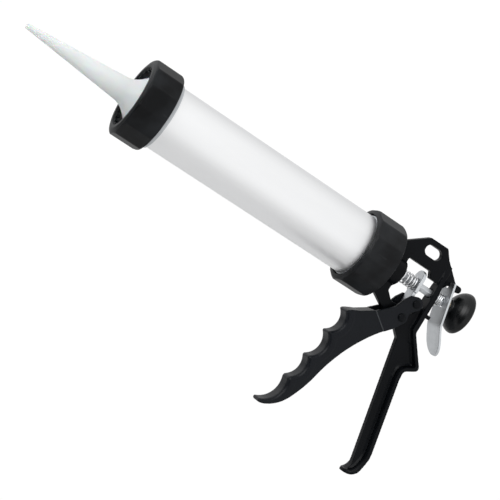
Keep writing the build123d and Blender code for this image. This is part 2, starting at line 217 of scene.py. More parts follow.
def gripPlastic(bench, place, dark=(0.0016, 0.0019, 0.0026, 1), light=(0.0125, 0.0140, 0.0160, 1)):
    skin = {"spark": 3400, "cloud": 34, "scuff": (0.07, 0.072, 0.076, 1)}
    spark = grain(bench, place, skin["spark"], 2)
    cloud = grain(bench, place, skin["cloud"], 3)
    scuff = grain(bench, place, 260, 6, 0.7, (0.12, 1, 1))
    # the cloudy mottling between dark and light is partly random tone and partly a painted sheen
    tone = bench.blend((cloud * 3.4 + spark * 0.3 - 1.45).clamped(), dark, light)
    scuffed = bench.blend(((scuff - 0.62) * 5).clamped() * 0.35, tone, skin["scuff"])
    return {"Base Color": scuffed, "Roughness": 0.3 + spark * 0.1 + cloud * 0.1,
            "height": (spark, 0.05 * mm, 0.3)}


def capPlastic(bench, place):
    # a darker copy of the grip plastic: painted shade on the front cap
    return gripPlastic(bench, place, (0.0012, 0.0015, 0.0021, 1), (0.0125, 0.0142, 0.0165, 1))


def knobPlastic(bench, place):
    cloud = grain(bench, place, 60, 3)
    fine = grain(bench, place, 2400, 2)
    tone = bench.blend(cloud, (0.0014, 0.0018, 0.0020, 1), (0.005, 0.0058, 0.0062, 1))
    return {"Base Color": tone, "Roughness": 0.16 + cloud * 0.14 + fine * 0.04,
            "height": (fine, 0.02 * mm, 0.2)}


def drawnAluminium(bench, place):
    tube = {"line": 5200, "band": 60, "bright": (0.9, 0.905, 0.91, 1), "dull": (0.8, 0.806, 0.815, 1)}
    line = grain(bench, place, tube["line"], 3, 0.6, (0.006, 1, 1))
    band = grain(bench, place, tube["band"], 3, 0.5, (0.05, 1, 1))
    speck = grain(bench, place, 1800, 2)
    tone = bench.blend((line * 0.5 + band * 0.5).clamped(), tube["dull"], tube["bright"])
    return {"Base Color": tone, "Roughness": 0.33 + line * 0.14 + speck * 0.06,
            "height": (line * 0.8 + speck * 0.2, 0.03 * mm, 0.25)}


def naturalPolythene(bench, place):
    cloud = grain(bench, place, 55, 3)
    flow = grain(bench, place, 420, 3, 0.5, (0.08, 1, 1))
    tone = bench.blend(cloud, (0.86, 0.885, 0.885, 1), (0.93, 0.945, 0.945, 1))
    return {"Base Color": tone, "Roughness": 0.32 + cloud * 0.12, "height": (flow, 0.04 * mm, 0.3)}


def zincPlate(bench, place):
    plate = {"spangle": 420, "brush": 3600, "bright": (0.68, 0.7, 0.72, 1), "dull": (0.5, 0.52, 0.54, 1)}
    cells = {"Vector": place, "Scale": plate["spangle"]}
    spangle = bench.node("ShaderNodeTexVoronoi", {"feature": "SMOOTH_F1"}, cells)["Distance"]
    brush = grain(bench, place, plate["brush"], 3, 0.6, (1, 1, 0.03))
    cloud = grain(bench, place, 130, 4)
    tone = bench.blend((cloud * 0.9 + spangle * 0.25 - 0.1).clamped(), plate["dull"], plate["bright"])
    return {"Base Color": tone, "Roughness": 0.24 + brush * 0.14 + cloud * 0.1,
            "height": (brush * 0.7 + spangle * 0.3, 0.03 * mm, 0.3)}


def drawnWire(bench, place):
    line = grain(bench, place, 2800, 3)
    cloud = grain(bench, place, 240, 3)
    tone = bench.blend(cloud, (0.66, 0.67, 0.68, 1), (0.9, 0.905, 0.915, 1))
    return {"Base Color": tone, "Roughness": 0.2 + line * 0.14, "height": (line, 0.02 * mm, 0.25)}


def ringPlastic(bench, place):
    cloud = grain(bench, place, 90, 3)
    fine = grain(bench, place, 2600, 2)
    tone = bench.blend(cloud, (0.42, 0.44, 0.46, 1), (0.55, 0.57, 0.59, 1))
    return {"Base Color": tone, "Roughness": 0.4 + fine * 0.12, "height": (fine, 0.03 * mm, 0.3)}


def blackRubber(bench, place):
    cloud = grain(bench, place, 160, 3)
    return {"Base Color": bench.blend(cloud, (0.012, 0.012, 0.012, 1), (0.03, 0.03, 0.03, 1)),
            "Roughness": 0.6 + cloud * 0.15, "height": (cloud, 0.05 * mm, 0.3)}


def pistonPlastic(bench, place):
    cloud = grain(bench, place, 70, 4)
    fine = grain(bench, place, 2200, 2)
    return {"Base Color": bench.blend(cloud, (0.62, 0.62, 0.6, 1), (0.74, 0.74, 0.72, 1)),
            "Roughness": 0.42 + cloud * 0.12, "height": (fine, 0.04 * mm, 0.3)}


def turnedBrass(bench, place):
    ring = grain(bench, place, 2200, 2, 0.5, (1, 0.05, 0.05))
    return {"Base Color": bench.blend(ring, (0.42, 0.34, 0.2, 1), (0.56, 0.46, 0.3, 1)),
            "Roughness": 0.25 + ring * 0.12, "height": (ring, 0.02 * mm, 0.3)}


# framePaint and triggerPaint are one paint made darker and lighter: painted shade and painted light
framePaint = newMaterial("framePaint", {"Specular IOR Level": 0.08}, frameCoat)
triggerPaint = newMaterial("triggerPaint", {"Specular IOR Level": 0.12}, triggerCoat)
blackPlastic = newMaterial("gripPlastic", {"Specular IOR Level": 0.16}, gripPlastic)
shadedGripPlastic = newMaterial("capPlastic", {"Specular IOR Level": 0.14}, capPlastic)
glossPlastic = newMaterial("knobPlastic", {"Specular IOR Level": 0.24}, knobPlastic)
aluminium = newMaterial("drawnAluminium", {"Metallic": 1.0}, drawnAluminium)
polythene = newMaterial("naturalPolythene", {
    "Transmission Weight": 0.35, "IOR": 1.3, "Subsurface Weight": 0.25, "Subsurface Scale": 0.004,
}, naturalPolythene)
zinc = newMaterial("zincPlate", {"Metallic": 1.0}, zincPlate)
wire = newMaterial("drawnWire", {"Metallic": 1.0}, drawnWire)
greyPlastic = newMaterial("ringPlastic", {}, ringPlastic)
rubber = newMaterial("blackRubber", {}, blackRubber)
whitePlastic = newMaterial("pistonPlastic", {}, pistonPlastic)
brass = newMaterial("turnedBrass", {"Metallic": 1.0}, turnedBrass)
print("finishes made")


# Mesh helpers. Outlines are in millimetres.
def pieceFrom(name, mesh, material, body, slotName, *nodes):
    for polygon in mesh.polygons:
        polygon.use_smooth = True
    mesh.set_sharp_from_angle(angle=radians(34))
    mesh.materials.clear()
    mesh.materials.append(material)
    mesh.name = name
    piece = bpy.data.objects.new(name, mesh)
    bpy.context.scene.collection.objects.link(piece)
    if isinstance(body, str):
        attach(piece, body)
    else:
        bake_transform(piece)
    if nodes:
        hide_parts(*nodes)
    return piece


def meshFrom(bm, outward=True):
    if outward:
        bmesh.ops.recalc_face_normals(bm, faces=bm.faces)
    mesh = bpy.data.meshes.new("made")
    bm.to_mesh(mesh)
    bm.free()
    return mesh


def evaluated(mesh, modifiers=(), trees=()):
    # a plain mesh of this one after modifiers, given as (type, settings), or trees, given as (tree, inputs)
    holder = bpy.data.objects.new("holder", mesh)
    bpy.context.scene.collection.objects.link(holder)
    for kind, settings in modifiers:
        modifier = holder.modifiers.new(kind, kind)
        for key, value in settings.items():
            setattr(modifier, key, value)
    for tree, inputs in trees:
        modifier = holder.modifiers.new(tree.name, "NODES")
        modifier.node_group = tree
        for item in tree.interface.items_tree:
            if item.item_type == "SOCKET" and item.in_out == "INPUT" and item.name in inputs:
                modifier[item.identifier] = inputs[item.name]
    graph = bpy.context.evaluated_depsgraph_get()
    result = bpy.data.meshes.new_from_object(holder.evaluated_get(graph))
    holder.modifiers.clear()
    bpy.data.objects.remove(holder)
    return result


def rounded(points, radii, steps=4, closed=True):
    # an outline with its corners rounded; a radius of 0 leaves a corner sharp
    if not hasattr(radii, "__len__"):
        radii = [radii] * len(points)
    made = []
    count = len(points)
    for i, (corner, radius) in enumerate(zip(points, radii)):
        if radius == 0 or (not closed and i in (0, count - 1)):
            made.append(corner)
            continue
        here = Vector(corner)
        back, ahead = Vector(points[i - 1]) - here, Vector(points[(i + 1) % count]) - here
        room = 0.48 * min(back.length, ahead.length)
        half = back.angle(ahead) / 2
        cut = min(radius / tan(half), room)
        bend = cut * tan(half)
        centre = here + (back.normalized() + ahead.normalized()).normalized() * (bend / sin(half))
        start, end = here + back.normalized() * cut - centre, here + ahead.normalized() * cut - centre
        first = atan2(start.y, start.x)
        sweep = (atan2(end.y, end.x) - first + pi) % (2 * pi) - pi
        for k in range(steps + 1):
            angle = first + sweep * k / steps
            made.append((centre.x + bend * cos(angle), centre.y + bend * sin(angle)))
    return made


def lathe(outline, steps=128, turn=0.0, axis="X", centre=(0, 0), closed=True):
    # outline is (place along the axis, radius); centre is where the axis passes
    bm = bmesh.new()
    rows = []
    for along, radius in outline:
        row = []
        for k in range(1 if radius < 1e-6 else steps):
            angle = turn + 2 * pi * k / steps
            if axis == "X":
                spot = (along, centre[0] + radius * cos(angle), centre[1] + radius * sin(angle))
            else:
                spot = (centre[0] + radius * cos(angle), along, centre[1] + radius * sin(angle))
            row.append(bm.verts.new([c * mm for c in spot]))
        rows.append(row)
    for low, high in zip(rows, rows[1:] + (rows[:1] if closed else [])):
        if len(low) == 1 and len(high) == 1:
            continue
        for k in range(steps):
            n = k + 1
            ring = [low[k % len(low)], low[n % len(low)], high[n % len(high)], high[k % len(high)]]
            bm.faces.new(list(dict.fromkeys(ring)))
    return meshFrom(bm)


def nodeCopy(name):
    # a merged copy of a CAD node's mesh
    bm = bmesh.new()
    bm.from_mesh(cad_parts[name].data)
    bmesh.ops.remove_doubles(bm, verts=bm.verts, dist=1e-6)
    return meshFrom(bm, False)


def recast(mesh, voxel, smooths, keep=1.0):
    # one skin over everything in the mesh, with the soft edges of a casting or a pressing
    modifiers = [("REMESH", {"mode": "VOXEL", "voxel_size": voxel * mm}),
                 ("SMOOTH", {"factor": 0.5, "iterations": smooths})]
    if keep < 1:
        modifiers.append(("DECIMATE", {"ratio": keep}))
    return evaluated(mesh, modifiers)


def prism(outline, half):
    # outline is (x, z); the prism runs from -half to half in y
    bm = bmesh.new()
    sides = [[bm.verts.new((x * mm, y * mm, z * mm)) for x, z in outline] for y in (-half, half)]
    bm.faces.new(sides[0])
    bm.faces.new(sides[1][::-1])
    for k in range(len(outline)):
        n = (k + 1) % len(outline)
        bm.faces.new([sides[0][k], sides[1][k], sides[1][n], sides[0][n]])
    bmesh.ops.recalc_face_normals(bm, faces=bm.faces)
    return bm


def joined(*meshes):
    bm = bmesh.new()
    for mesh in meshes:
        bm.from_mesh(mesh)
    mesh = bpy.data.meshes.new("joined")
    bm.to_mesh(mesh)
    bm.free()
    return mesh


def cutBy(mesh, tool):
    cutter = bpy.data.objects.new("cutter", tool)
    bpy.context.scene.collection.objects.link(cutter)
    result = evaluated(mesh, [
        ("BOOLEAN", {"operation": "DIFFERENCE", "object": cutter, "solver": "EXACT"})])
    bpy.data.objects.remove(cutter)
    return result


# Geometry node trees.
def newTree(name, sockets):
    tree = bpy.data.node_groups.new(name, "GeometryNodeTree")
    tree.is_modifier = True
    tree.interface.new_socket("Geometry", in_out="INPUT", socket_type="NodeSocketGeometry")
    for label, kind in sockets:
        tree.interface.new_socket(label, in_out="INPUT", socket_type="NodeSocket" + kind)
    tree.interface.new_socket("Geometry", in_out="OUTPUT", socket_type="NodeSocketGeometry")
    bench = Bench(tree)
    return tree, bench, bench.node("NodeGroupInput")


def endTree(bench, shape, material):
    real = bench.node("GeometryNodeRealizeInstances", {}, {"Geometry": shape})["Geometry"]
    painted = bench.node("GeometryNodeSetMaterial", {}, {
        "Geometry": real, "Material": material})["Geometry"]
    bench.node("NodeGroupOutput", {}, {"Geometry": painted})


def makeFacetTree():
    # presses flats into a turned piece: no point stays outside a many-sided bar along X
    tree, bench, given = newTree("manySides", [
        ("Sides", "Float"), ("Flat Radius", "Float"), ("Turn", "Float"), ("Softness", "Float"),
        ("Material", "Material")])
    spot = bench.node("GeometryNodeInputPosition")["Position"]
    parts = bench.split(spot)
    radius = (parts["Y"] ** 2 + parts["Z"] ** 2) ** 0.5
    angle = parts["Z"].maths("ARCTAN2", parts["Y"])
    sector = 2 * pi / given["Sides"]
    folded = (angle - given["Turn"]).maths("FLOORED_MODULO", sector) - sector / 2
    limit = given["Flat Radius"] / folded.maths("COSINE")
    pressed = radius.maths("SMOOTH_MIN", limit, given["Softness"])
    share = pressed / radius.maths("MAXIMUM", 1e-6)
    moved = bench.vector(X=parts["X"], Y=parts["Y"] * share, Z=parts["Z"] * share)
    shape = bench.node("GeometryNodeSetPosition", {}, {
        "Geometry": given["Geometry"], "Position": moved})["Geometry"]
    endTree(bench, shape, given["Material"])
    return tree


def makeCoilTree():
    # a coil round the X axis; Crowding above 1 packs its turns towards the far end
    tree, bench, given = newTree("coil", [
        ("Start", "Float"), ("Length", "Float"), ("Turns", "Float"), ("Coil Radius", "Float"),
        ("Wire Radius", "Float"), ("Wire Sides", "Int"), ("Crowding", "Float"), ("Material", "Material")])
    spiral = bench.node("GeometryNodeCurveSpiral", {}, {
        "Resolution": 40, "Rotations": given["Turns"], "Start Radius": given["Coil Radius"],
        "End Radius": given["Coil Radius"], "Height": 1.0})["Curve"]
    parts = bench.split(bench.node("GeometryNodeInputPosition")["Position"])
    along = 1 - (1 - parts["Z"]).maths("MAXIMUM", 0.0) ** given["Crowding"]
    moved = bench.vector(X=given["Start"] + along * given["Length"], Y=parts["X"], Z=parts["Y"])
    bent = bench.node("GeometryNodeSetPosition", {}, {"Geometry": spiral, "Position": moved})["Geometry"]
    section = bench.node("GeometryNodeCurvePrimitiveCircle", {}, {
        "Resolution": given["Wire Sides"], "Radius": given["Wire Radius"]})["Curve"]
    solid = bench.node("GeometryNodeCurveToMesh", {}, {
        "Curve": bent, "Profile Curve": section, "Fill Caps": True})["Mesh"]
    endTree(bench, solid, given["Material"])
    return tree


def makeRibTree():
    # ribs set round the X axis, each a block that stands in from a ring
    tree, bench, given = newTree("ribRing", [
        ("Count", "Int"), ("Ring Radius", "Float"), ("Place", "Float"), ("Rib Size", "Vector"),
        ("Material", "Material")])
    ring = bench.node("GeometryNodeMeshCircle", {}, {
        "Vertices": given["Count"], "Radius": given["Ring Radius"]})["Mesh"]
    stood = bench.node("GeometryNodeTransform", {}, {
        "Geometry": ring, "Rotation": (pi / 2, 0, pi / 2)})["Geometry"]
    place = bench.vector(X=given["Place"])
    placed = bench.node("GeometryNodeTransform", {}, {"Geometry": stood, "Translation": place})["Geometry"]
    parts = bench.split(bench.node("GeometryNodeInputPosition")["Position"])
    lean = bench.vector(X=parts["Z"].maths("ARCTAN2", parts["Y"]))
    rib = bench.node("GeometryNodeMeshCube", {}, {"Size": given["Rib Size"]})["Mesh"]
    ribs = bench.node("GeometryNodeInstanceOnPoints", {}, {
        "Points": placed, "Instance": rib, "Rotation": lean})["Instances"]
    endTree(bench, ribs, given["Material"])
    return tree


facetTree, coilTree, ribTree = makeFacetTree(), makeCoilTree(), makeRibTree()
seed = bpy.data.meshes.new("seed")


def coil(material, **sizes):
    return evaluated(seed, trees=[(coilTree, {**sizes, "Material": material})])


# Stations along the barrel, in millimetres.
def span(node):
    low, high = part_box(node)
    return low / mm, high / mm


capLow, capHigh = span("front_cap")
collarLow, collarHigh = span("rear_collar")
tubeLow, tubeHigh = span("barrel_tube")


def ringOutline(node, bore, edge, steps):
    # section of a plain ring that fills a node's box, with its edges rounded
    low, high = span(node)
    return rounded([(low.x, bore), (low.x, high.z), (high.x, high.z), (high.x, bore)], edge, steps)


# Nozzle and its seal.
nozzleLook = {"tip": 2.0, "bore": 1.25, "boreEnd": 6.0, "cone": 9.9, "coneEnd": 84.5, "wall": 1.5,
              "neck": 20.4, "throat": 18.9, "flareEnd": 99.0, "flareSteps": 10, "flareEarly": 0.3,
              "flareShift": 0.9, "flange": 2.0, "lip": 0.4, "steps": 128,
              "seal": 19.1, "sealEdge": 0.3, "sealSteps": 96}


def makeNozzle():
    low, high = span("nozzle")
    look = nozzleLook
    flange = high.z
    flare = []
    for k in range(1, look["flareSteps"]):
        t = k / look["flareSteps"]
        rise = look["flareEarly"] * t + (1 - look["flareEarly"]) * t * t
        flare.append((look["coneEnd"] + (look["flareEnd"] - look["coneEnd"]) * t,
                      look["cone"] + (look["neck"] - look["cone"]) * rise))
    seat = high.x - look["flange"]
    outside = [(low.x, look["tip"]), (look["coneEnd"], look["cone"])] + flare
    outside += [(look["flareEnd"], look["neck"]), (seat, look["neck"]), (seat, flange), (high.x, flange)]
    inside = [(high.x, look["throat"]), (look["flareEnd"], look["throat"])]
    inside += [(x + look["flareShift"], r - look["wall"]) for x, r in reversed(flare)]
    inside += [(look["coneEnd"], look["cone"] - look["wall"]), (look["boreEnd"], look["bore"]),
               (low.x, look["bore"])]
    radii = [look["lip"]] + [0] * (len(outside) + len(inside) - 2) + [look["lip"]]
    profile = rounded(outside + inside, radii)
    cone = lathe(profile, look["steps"])
    pieceFrom("nozzle_cone", cone, polythene, "nozzle_group", "nozzle_plastic", "nozzle")
    seal = ringOutline("nozzle_seal", look["seal"], look["sealEdge"], 4)
    washer = lathe(seal, look["sealSteps"])
    pieceFrom("nozzle_washer", washer, rubber, "nozzle_group", "seal_rubber", "nozzle_seal")


makeNozzle()
print("nozzle made")


# The two hand grips.
gripLook = {"sides": 12, "turn": 10.0, "softness": 0.22, "steps": 192, "lip": 2.3, "frontDrop": 4.7,
            "lipBend": (1.1, 1.7), "backDrop": 2.4, "backBend": (0.7, 0.8), "thread": 28.35, "wall": 3.0,
            "shoulder": 9.0, "neck": 21.3, "mouthDepth": 6.0, "mouthRim": 25.9, "mouthFloor": 23.4,
            "hole": 21.0, "ribs": 24, "ribRing": 24.6, "ribPlace": 3.6, "ribSize": (4.4, 1.4, 3.4),
            "edges": [0.6, 1.2, 2.5, 2.5, 1.2, 0.6], "innerEdge": 0.35}


def gripShape(low, high, inner, material):
    # outer skin with rounded lips round an inner outline, then the flats
    look = gripLook
    corner = high.y / cos(radians(look["turn"]))
    flat = corner * cos(pi / look["sides"])
    x0, x1 = low.x, high.x
    frontIn, frontFall = look["lipBend"]
    backIn, backFall = look["backBend"]
    skin = [(x0, corner - look["frontDrop"]), (x0 + frontIn, corner - frontFall),
            (x0 + look["lip"], corner), (x1 - look["lip"], corner),
            (x1 - backIn, corner - backFall), (x1, corner - look["backDrop"])]
    skin = rounded(skin + inner, look["edges"] + [look["innerEdge"]] * len(inner), 5)
    turned = lathe(skin, look["steps"], radians(look["turn"]))
    return evaluated(turned, trees=[(facetTree, {
        "Sides": float(look["sides"]), "Flat Radius": flat * mm, "Turn": radians(look["turn"]),
        "Softness": look["softness"] * mm, "Material": material})])


def makeGrips():
    look = gripLook
    thread = look["thread"]
    shoulder = capLow.x + look["shoulder"]
    floor = capLow.x + look["mouthDepth"]
    inner = [(capHigh.x, thread), (shoulder, thread), (shoulder, look["hole"]), (floor, look["hole"]),
             (floor, look["mouthFloor"]), (capLow.x, look["mouthRim"])]
    cap = gripShape(capLow, capHigh, inner, shadedGripPlastic)
    ribs = evaluated(seed, trees=[(ribTree, {
        "Count": look["ribs"], "Ring Radius": look["ribRing"] * mm,
        "Place": (capLow.x + look["ribPlace"]) * mm,
        "Rib Size": [s * mm for s in look["ribSize"]], "Material": shadedGripPlastic})])
    pieceFrom("front_cap_grip", joined(cap, ribs), shadedGripPlastic, "front_cap", "grip_plastic", "front_cap")
    wall = collarHigh.x - look["wall"]
    inner = [(collarHigh.x, look["neck"]), (wall, look["neck"]), (wall, thread), (collarLow.x, thread)]
    collar = gripShape(collarLow, collarHigh, inner, blackPlastic)
    pieceFrom("rear_collar_grip", collar, blackPlastic, "barrel", "grip_plastic", "rear_collar")


makeGrips()
print("grips made")


# Barrel and its two threaded rings.
barrelLook = {"bore": 25.0, "radius": 26.5, "rim": 0.25, "steps": 192, "ringSteps": 160,
              "ring": 28.0, "root": 27.55, "collar": (3.6, 3.4), "ringEdge": 0.2,
              "threadPitch": 4.0, "threadWire": 0.55, "threadSink": 0.5,
              "threadSpans": {"front_thread_ring": (1.0, -4.4), "rear_thread_ring": (3.0, -1.0)}}


def makeBarrel():
    look = barrelLook
    tube = rounded([(tubeLow.x, look["bore"]), (tubeLow.x, look["radius"]), (tubeHigh.x, look["radius"]),
                    (tubeHigh.x, look["bore"])], look["rim"], 3)
    tube = lathe(tube, look["steps"])
    pieceFrom("barrel_skin", tube, aluminium, "barrel", "barrel_aluminium", "barrel_tube")
    for node, (threadStart, threadEnd) in look["threadSpans"].items():
        low, high = span(node)
        rise, top = (high.x - back for back in look["collar"])
        ring = [(low.x, look["radius"]), (low.x, look["root"]), (rise, look["root"]), (top, look["ring"]),
                (high.x, look["ring"]), (high.x, look["radius"])]
        ring = rounded(ring, look["ringEdge"], 3)
        x0, x1 = low.x + threadStart, high.x + threadEnd
        thread = coil(greyPlastic, **{
            "Start": x0 * mm, "Length": (x1 - x0) * mm, "Turns": (x1 - x0) / look["threadPitch"],
            "Coil Radius": (look["ring"] - look["threadSink"]) * mm, "Wire Radius": look["threadWire"] * mm,
            "Wire Sides": 8, "Crowding": 1.0})
        skin = joined(lathe(ring, look["ringSteps"]), thread)
        pieceFrom(node + "_skin", skin, greyPlastic, "barrel", "ring_plastic", node)


makeBarrel()
print("barrel made")


# Casting: swivel disc, arms, rear wall and handle in one.
castLook = {"voxel": 0.6, "smooths": 3, "keep": 0.6, "half": 3.25, "webSkin": 3.55, "filletHeight": 4.0,
            "filletReach": 1.4, "flangeInside": 1.6, "filletTop": -44.0, "filletLeast": 0.2, "steps": 5}
handleBack = [(54.7, -33.6), (73.9, -59.2), (62.3, -65.5), (62.6, -73.5), (77.5, -142.4), (73.6, -161.9),
              (65.2, -160.8)]
handleBends = [0, 2, 5, 6, 25, 9, 0]


def distanceTo(line, x, z):
    best = 1e9
    for (x0, z0), (x1, z1) in zip(line, line[1:]):
        dx, dz = x1 - x0, z1 - z0
        t = max(0, min(1, ((x - x0) * dx + (z - z0) * dz) / (dx * dx + dz * dz)))
        best = min(best, hypot(x - x0 - t * dx, z - z0 - t * dz))
    return best


def makeCasting():
    # the handle's web flows into its flange with a hollow curve
    look = castLook
    mesh = recast(nodeCopy("frame"), look["voxel"], look["smooths"])
    back = rounded(handleBack, handleBends, look["steps"], closed=False)
    for vertex in mesh.vertices:
        x, y, z = vertex.co.x / mm - castFace, vertex.co.y / mm, vertex.co.z / mm
        if z > look["filletTop"] or abs(y) > look["webSkin"]:
            continue
        gap = distanceTo(back, x, z) - look["flangeInside"]
        if gap > look["filletLeast"]:
            rise = look["filletHeight"] / look["half"] * exp(-gap / look["filletReach"])
            vertex.co.y = y * (1 + rise) * mm
    mesh = evaluated(mesh, [
        ("SMOOTH", {"factor": 0.5, "iterations": 2}), ("DECIMATE", {"ratio": look["keep"]})])
    pieceFrom("frame_casting", mesh, framePaint, "frame", "frame_paint", "frame")


makeCasting()
print("casting made")


# Trigger, in (x, z) from the casting's front face
triggerLook = {"half": 9.0, "round": 3.6, "border": 6.2, "borderStep": 0.5, "sink": 0.45, "inside": 6.0,
               "voxel": 0.5, "smooths": 2, "keep": 0.7, "hornCut": 2.4, "seamGap": 0.4, "cutHalf": 12.0,
               "horns": [(-9.2, -48.4), (-12.0, -71.2), (-15.5, -96.2), (-20.6, -118.8)],
               "hollows": [(-3.0, -60.4), (-6.0, -84.0), (-11.9, -106.8)],
               "toe": [(-19.5, -133.6), (-30.4, -145.0), (-32.0, -147.6), (-29.6, -148.4)],
               "back": [(-17.6, -141.7), (-8.4, -128.6), (-3.6, -117.2), (0.0, -104.3), (14.2, -69.6),
                        (35.2, -42.2)],
               "seam": [(30.0, -47.6), (14.4, -36.6)], "saddle": (3.8, -43.1), "crest": (19.6, -32.0),
               "channel": [(13.0, -41.0), (3.2, -59.6), (-0.4, -83.0), (-6.6, -106.0), (-12.2, -126.0),
                           (0, -134), (60, -60), (60, -43)],
               "aboveSeam": [(10, -5), (60, -5), (60, -60), (34, -60)]}


def arc(start, middle, end, steps):
    # points on the arc through three places, without its last one
    ax, az = start
    bx, bz = middle
    cx, cz = end
    twiceArea = 2 * (ax * (bz - cz) + bx * (cz - az) + cx * (az - bz))
    a, b, c = ax * ax + az * az, bx * bx + bz * bz, cx * cx + cz * cz
    ux = (a * (bz - cz) + b * (cz - az) + c * (az - bz)) / twiceArea
    uz = (a * (cx - bx) + b * (ax - cx) + c * (bx - ax)) / twiceArea
    a0, a1, a2 = (atan2(z - uz, x - ux) for x, z in (start, middle, end))
    radius = hypot(ax - ux, az - uz)
    sweep = (a2 - a0) % (2 * pi)
    if (a1 - a0) % (2 * pi) > sweep:
        sweep -= 2 * pi
    angles = [a0 + sweep * k / steps for k in range(steps)]
    return [(ux + radius * cos(angle), uz + radius * sin(angle)) for angle in angles]


def shifted(points):
    return [(x + castFace, z) for x, z in points]


def softened(line, corners, cut):
    # a closed line whose named corners are swapped for short curves
    made = []
    for place in line:
        near = [c for c in corners if hypot(place[0] - c[0], place[1] - c[1]) < cut]
        if not near:
            made.append(place)
        elif near[0] == place:
            made.append(("corner", place))
    result = []
    for i, place in enumerate(made):
        if place[0] != "corner":
            result.append(place)
            continue
        corner, before, after = Vector(place[1]), Vector(made[i - 1]), Vector(made[(i + 1) % len(made)])
        for k in range(1, 6):
            t = k / 6
            result.append(tuple(before * (1 - t) ** 2 + corner * (2 * t * (1 - t)) + after * t ** 2))
    return result


def makeTrigger():
    look = triggerLook
    horns, hollows, toe, back = look["horns"], look["hollows"], look["toe"], look["back"]
    front = []
    for i in range(3):
        front += arc(horns[i], hollows[i], horns[i + 1], 18)
    front += arc(horns[3], toe[0], toe[1], 16) + arc(toe[1], toe[2], toe[3], 8)
    rear = arc(toe[3], back[0], back[1], 8) + arc(back[1], back[2], back[3], 8)
    rear += arc(back[3], back[4], back[5], 14)
    top = [back[5], look["crest"], look["seam"][1], look["saddle"]]
    outline = softened(front + rear + top, horns, look["hornCut"])
    lead = softened(front, horns[1:], look["hornCut"])
    fingers = meshFrom(prism(shifted(outline), look["half"]))
    fingers = cutBy(fingers, meshFrom(prism(shifted(look["channel"]), look["inside"])))
    above = look["seam"] + look["aboveSeam"]
    fingers = cutBy(fingers, meshFrom(prism(shifted(above), look["cutHalf"])))
    fingers = recast(fingers, look["voxel"], 1)
    for vertex in fingers.vertices:
        # the scalloped edge is rounded over, and a border stands round the sides
        away = distanceTo(lead, vertex.co.x / mm - castFace, vertex.co.z / mm)
        reach = look["round"]
        limit = look["half"]
        if away < reach:
            limit += sqrt(max(0, reach ** 2 - (reach - away) ** 2)) - reach
        limit -= look["sink"] * min(1, max(0, (away - look["border"]) / look["borderStep"]))
        vertex.co.y *= limit / look["half"]
    bm = bmesh.new()
    bm.from_mesh(nodeCopy("trigger"))
    low, top = (Vector((x + castFace, 0, z)) * mm for x, z in look["seam"])
    seam = (low - top).normalized()
    normal = Vector((seam.z, 0, -seam.x))
    bmesh.ops.bisect_plane(
        bm, geom=bm.verts[:] + bm.edges[:] + bm.faces[:], plane_co=top + normal * look["seamGap"] * mm,
        plane_no=normal, clear_outer=True)
    bmesh.ops.holes_fill(bm, edges=[e for e in bm.edges if e.is_boundary])
    mesh = recast(joined(fingers, meshFrom(bm)), look["voxel"], look["smooths"], look["keep"])
    pieceFrom("trigger_casting", mesh, triggerPaint, "trigger", "frame_paint", "trigger")


makeTrigger()
print("trigger made")


# Rivets and the sleeve between the ears.
rivetLook = {"head": 3.4, "height": 1.9, "pin": 2.5, "rim": 0.5, "roundness": 0.8,
             "domeAngles": (0.3, 0.6, 0.9, 1.2, 1.42), "sleeveWall": 0.9, "sleeveEdge": 0.2}


def makeRivets():
    look = rivetLook
    for node in ("trigger_pivot_pin", "drive_pin"):
        low, high = span(node)
        centre = ((low.x + high.x) / 2, (low.z + high.z) / 2)
        seat = high.y - look["height"]
        rim = seat + look["rim"]
        dome = [(seat, look["pin"]), (seat, look["head"]), (rim, look["head"])]
        for angle in look["domeAngles"]:
            rise = (look["height"] - look["rim"]) * sin(angle)
            dome.append((rim + rise, look["head"] * cos(angle) ** look["roundness"]))
        dome.append((high.y, 0))
        whole = [(-y, r) for y, r in reversed(dome)] + dome
        rivet = lathe(whole, 48, 0, "Y", centre, False)
        pieceFrom(node + "_head", rivet, framePaint, "trigger", "black_rivet", node)
    low, high = span("drive_pin_sleeve")
    centre = ((low.x + high.x) / 2, (low.z + high.z) / 2)
    outer = (high.x - low.x) / 2
    inner = outer - look["sleeveWall"]
    tube = [(low.y, inner), (low.y, outer), (high.y, outer), (high.y, inner)]
    tube = lathe(rounded(tube, look["sleeveEdge"], 3), 64, 0, "Y", centre)
    pieceFrom("drive_sleeve", tube, zinc, "trigger", "zinc_steel", "drive_pin_sleeve")


makeRivets()
print("rivets made")


# Pressed plates.
plateLook = {"voxel": 0.3, "smooths": 2, "keep": 0.7}


def makePlates():
    look = plateLook
    for node, body in (("drive_plate", "drive_plate"), ("release_plate", "release_plate")):
        mesh = recast(nodeCopy(node), look["voxel"], look["smooths"], look["keep"])
        pieceFrom(node + "_pressing", mesh, zinc, body, "zinc_steel", node)


makePlates()
print("plates made")


# Springs, as coils along the rod.
springLook = {
    "drive_spring": {
        "presses": "drive_plate", "turns": 5.2, "radius": 5.38, "wire": 0.76, "crowding": 1.45},
    "release_spring": {
        "presses": "release_plate", "turns": 3.1, "radius": 5.2, "wire": 0.64, "crowding": 1.1}}


def makeSprings():
    for node, look in springLook.items():
        low, high = span(node)
        x0, x1 = low.x + look["wire"], high.x - look["wire"]
        mesh = coil(wire, **{
            "Start": x0 * mm, "Length": (x1 - x0) * mm, "Turns": look["turns"],
            "Coil Radius": look["radius"] * mm, "Wire Radius": look["wire"] * mm, "Wire Sides": 14,
            "Crowding": look["crowding"]})
        ends = ((x0 * mm, 0, 0), (x1 * mm, 0, 0))
        pieceFrom(node + "_wire", mesh, wire, ("frame", look["presses"], *ends), "spring_steel", node)


makeSprings()
print("springs made")


